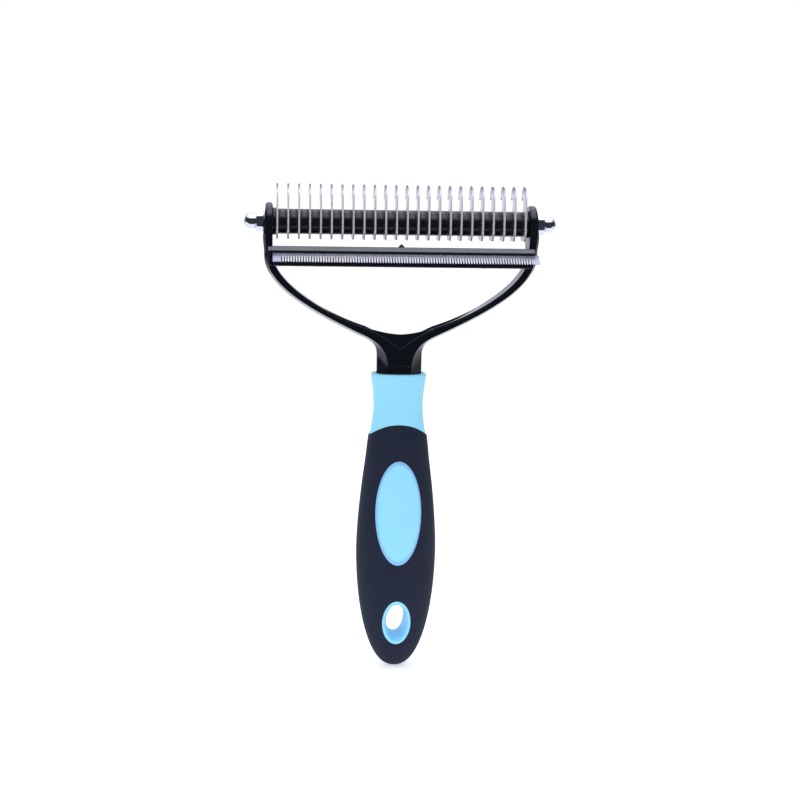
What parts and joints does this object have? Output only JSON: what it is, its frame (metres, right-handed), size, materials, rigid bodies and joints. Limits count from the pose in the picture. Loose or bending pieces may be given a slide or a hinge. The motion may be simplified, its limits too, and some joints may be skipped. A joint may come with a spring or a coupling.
{
  "type": "dematting comb",
  "caption": "Two-sided pet grooming comb: a pack of hooked steel blades on a tie rod and a fine toothed deshedding blade, on a fork with a soft oval handle.",
  "frame": {"origin": "centre of the bounding box in X and Y, at the tail tip of the handle", "axes": "+Z from the tail of the handle to the hooked blades, +X across the comb along the tie rod, -Y is the front, the side of the fine deshedding blade"},
  "size_m": [0.1204, 0.0246, 0.19],
  "materials": {
    "fork_plastic": "polished black",
    "spacer_plastic": "satin black",
    "blade_steel": "fine ground steel",
    "nut_chrome": "bright chrome",
    "handle_blue": "soft satin sky blue",
    "grip_rubber": "matte blue-black, fine grained"
  },
  "bodies": {
    "frame": {"fork_frame": "fork_plastic", "blade_clamp": "fork_plastic", "deshedding_blade": "blade_steel", "clamp_screw_left": "blade_steel", "clamp_screw_right": "blade_steel", "handle_core": "handle_blue", "grip_sleeve": "grip_rubber"},
    "comb_pack": {"tie_rod": "blade_steel", "comb_blade_01": "blade_steel", "comb_blade_02": "blade_steel", "comb_blade_03": "blade_steel", "comb_blade_04": "blade_steel", "comb_blade_05": "blade_steel", "comb_blade_06": "blade_steel", "comb_blade_07": "blade_steel", "comb_blade_08": "blade_steel", "comb_blade_09": "blade_steel", "comb_blade_10": "blade_steel", "comb_blade_11": "blade_steel", "comb_blade_12": "blade_steel", "comb_blade_13": "blade_steel", "comb_blade_14": "blade_steel", "comb_blade_15": "blade_steel", "comb_blade_16": "blade_steel", "comb_blade_17": "blade_steel", "comb_blade_18": "blade_steel", "comb_blade_19": "blade_steel", "comb_blade_20": "blade_steel", "comb_blade_21": "blade_steel", "comb_blade_22": "blade_steel", "comb_blade_23": "blade_steel", "comb_blade_24": "blade_steel", "spacer_01": "spacer_plastic", "spacer_02": "spacer_plastic", "spacer_03": "spacer_plastic", "spacer_04": "spacer_plastic", "spacer_05": "spacer_plastic", "spacer_06": "spacer_plastic", "spacer_07": "spacer_plastic", "spacer_08": "spacer_plastic", "spacer_09": "spacer_plastic", "spacer_10": "spacer_plastic", "spacer_11": "spacer_plastic", "spacer_12": "spacer_plastic", "spacer_13": "spacer_plastic", "spacer_14": "spacer_plastic", "spacer_15": "spacer_plastic", "spacer_16": "spacer_plastic", "spacer_17": "spacer_plastic", "spacer_18": "spacer_plastic", "spacer_19": "spacer_plastic", "spacer_20": "spacer_plastic", "spacer_21": "spacer_plastic", "spacer_22": "spacer_plastic", "spacer_23": "spacer_plastic", "end_spacer_left": "spacer_plastic", "end_spacer_right": "spacer_plastic"},
    "nut_left": {"cap_nut_left": "nut_chrome"},
    "nut_right": {"cap_nut_right": "nut_chrome"}
  },
  "joints": [
    {"name": "comb_pack_turn", "type": "hinge", "parent": "frame", "child": "comb_pack", "pos_m": [0, 0.001, 0.1756], "axis": [1, 0, 0], "range_deg": [-110, 110]},
    {"name": "cap_nut_left_turn", "type": "hinge", "parent": "comb_pack", "child": "nut_left", "pos_m": [-0.0563, 0.001, 0.1756], "axis": [-1, 0, 0], "range_deg": [0, 360]},
    {"name": "cap_nut_right_turn", "type": "hinge", "parent": "comb_pack", "child": "nut_right", "pos_m": [0.0563, 0.001, 0.1756], "axis": [1, 0, 0], "range_deg": [0, 360]}
  ]
}
